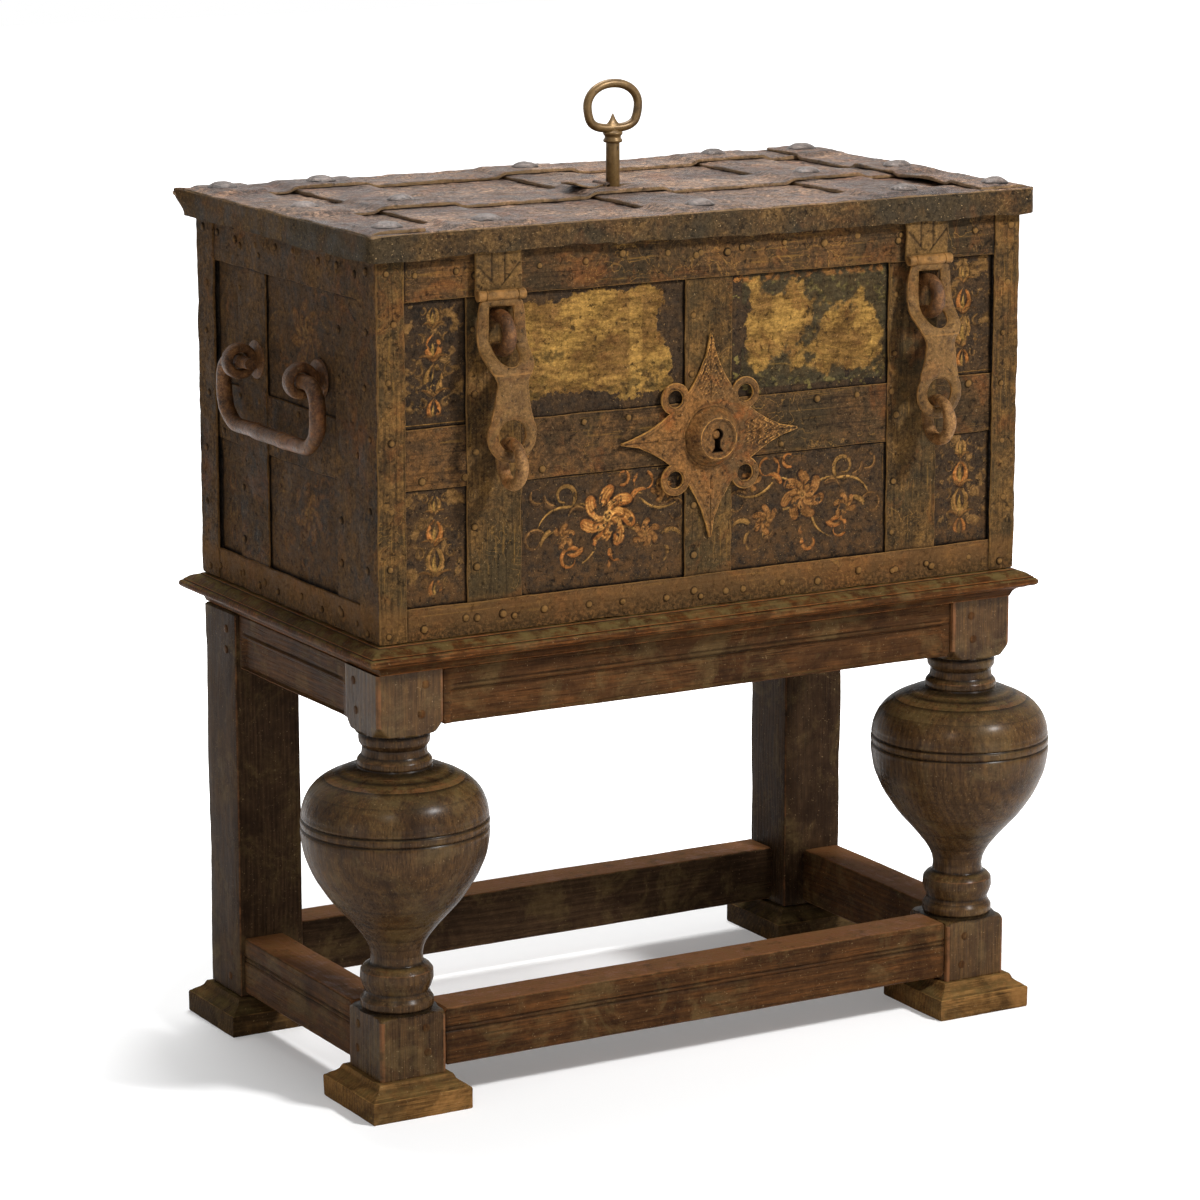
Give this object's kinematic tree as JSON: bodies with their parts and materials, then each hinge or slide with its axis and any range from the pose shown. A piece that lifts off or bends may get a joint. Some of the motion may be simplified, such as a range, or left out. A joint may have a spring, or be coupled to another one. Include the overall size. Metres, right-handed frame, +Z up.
{
  "type": "strongbox",
  "caption": "Iron-strapped strongbox with hasps, bail handles and a keyed lid lock, on an oak stand with bulbous turned front legs.",
  "frame": {"origin": "on the floor, in the middle of the bounding box in plan", "axes": "+X to the right of someone who faces the front, +Y to the back, +Z up"},
  "size_m": [0.887, 0.5061, 1.0205],
  "materials": {
    "oak": "satin",
    "worn_oak": "matte",
    "painted_iron": "worn",
    "strap_iron": "rusted",
    "lid_iron": "rusted",
    "rust_iron": "rusted",
    "bare_iron": "dull",
    "key_iron": "polished"
  },
  "bodies": {
    "stand": {"stand_top": "oak", "apron_front": "oak", "apron_back": "oak", "apron_left": "oak", "apron_right": "oak", "stretcher_front": "oak", "stretcher_back": "oak", "stretcher_left": "oak", "stretcher_right": "oak", "leg_front_left": "oak", "leg_front_right": "oak", "post_back_left": "oak", "post_back_right": "oak", "foot_front_left": "worn_oak", "foot_front_right": "worn_oak", "foot_back_left": "worn_oak", "foot_back_right": "worn_oak"},
    "strongbox": {"front_plate": "painted_iron", "back_plate": "painted_iron", "left_plate": "painted_iron", "right_plate": "painted_iron", "floor_plate": "bare_iron", "rim_lip": "bare_iron", "front_strapwork": "strap_iron", "back_strapwork": "strap_iron", "left_strapwork": "strap_iron", "right_strapwork": "strap_iron", "escutcheon": "rust_iron", "hasp_loop_left": "rust_iron", "hasp_loop_right": "rust_iron", "handle_eye_left_front": "rust_iron", "handle_eye_left_back": "rust_iron", "handle_eye_right_front": "rust_iron", "handle_eye_right_back": "rust_iron", "hinge_leaf_left": "strap_iron", "hinge_leaf_right": "strap_iron"},
    "lid": {"lid_shell": "lid_iron", "long_strap_front": "lid_iron", "long_strap_middle": "lid_iron", "long_strap_back": "lid_iron", "cross_strap_left": "lid_iron", "cross_strap_middle": "lid_iron", "cross_strap_right": "lid_iron", "end_strap_left": "lid_iron", "end_strap_right": "lid_iron", "hasp_plate_left": "strap_iron", "hasp_plate_right": "strap_iron", "lock_plate": "bare_iron"},
    "left_bail": {"handle_left": "rust_iron"},
    "right_bail": {"handle_right": "rust_iron"},
    "left_hasp": {"hasp_left": "rust_iron"},
    "right_hasp": {"hasp_right": "rust_iron"},
    "left_ring": {"pull_ring_left": "rust_iron"},
    "right_ring": {"pull_ring_right": "rust_iron"},
    "flap": {"keyhole_cover": "lid_iron"},
    "wheel": {"lock_wheel": "bare_iron"},
    "lid_key": {"key": "key_iron"},
    "left_bolt": {"bolt_left": "bare_iron"},
    "right_bolt": {"bolt_right": "bare_iron"},
    "front_bolt": {"bolt_front": "bare_iron"}
  },
  "joints": [
    {"name": "strongbox_lift", "type": "slide", "parent": "stand", "child": "strongbox", "axis": [0, 0, 1], "range_m": [0, 0.25]},
    {"name": "lid_hinge", "type": "hinge", "parent": "strongbox", "child": "lid", "pos_m": [0, 0.2452, 0.8783], "axis": [-1, 0, 0], "range_deg": [0, 100]},
    {"name": "left_bail_swing", "type": "hinge", "parent": "strongbox", "child": "left_bail", "pos_m": [-0.4, 0.0152, 0.7433], "axis": [0, 1, 0], "range_deg": [-8, 100]},
    {"name": "right_bail_swing", "type": "hinge", "parent": "strongbox", "child": "right_bail", "pos_m": [0.4, 0.0152, 0.7433], "axis": [0, -1, 0], "range_deg": [-8, 100]},
    {"name": "left_hasp_swing", "type": "hinge", "parent": "lid", "child": "left_hasp", "pos_m": [-0.25, -0.2043, 0.8383], "axis": [-1, 0, 0], "range_deg": [0, 150]},
    {"name": "right_hasp_swing", "type": "hinge", "parent": "lid", "child": "right_hasp", "pos_m": [0.261, -0.2043, 0.8383], "axis": [-1, 0, 0], "range_deg": [0, 150]},
    {"name": "left_ring_swing", "type": "hinge", "parent": "left_hasp", "child": "left_ring", "pos_m": [-0.25, -0.2258, 0.67855], "axis": [-1, 0, 0], "range_deg": [0, 90]},
    {"name": "right_ring_swing", "type": "hinge", "parent": "right_hasp", "child": "right_ring", "pos_m": [0.261, -0.2258, 0.67855], "axis": [-1, 0, 0], "range_deg": [0, 90]},
    {"name": "flap_hinge", "type": "hinge", "parent": "lid", "child": "flap", "pos_m": [-0.014, 0.0072, 0.9128], "axis": [0, 1, 0], "range_deg": [0, 75]},
    {"name": "key_turn", "type": "hinge", "parent": "lid", "child": "wheel", "pos_m": [0, 0.0072, 0.8733], "axis": [0, 0, 1], "range_deg": [-40, 0]},
    {"name": "key_lift", "type": "slide", "parent": "wheel", "child": "lid_key", "axis": [0, 0, 1], "range_m": [0, 0.05]},
    {"name": "left_bolt_throw", "type": "slide", "parent": "lid", "child": "left_bolt", "axis": [-1, 0, 0], "range_m": [0, 0.0147]},
    {"name": "right_bolt_throw", "type": "slide", "parent": "lid", "child": "right_bolt", "axis": [1, 0, 0], "range_m": [0, 0.0147]},
    {"name": "front_bolt_throw", "type": "slide", "parent": "lid", "child": "front_bolt", "axis": [0, -1, 0], "range_m": [0, 0.0147]}
  ],
  "couplings": [
    {"joint": "left_bolt_throw", "follows": "key_turn", "m_per_rad": -0.021016},
    {"joint": "right_bolt_throw", "follows": "key_turn", "m_per_rad": -0.021016},
    {"joint": "front_bolt_throw", "follows": "key_turn", "m_per_rad": -0.021016}
  ]
}
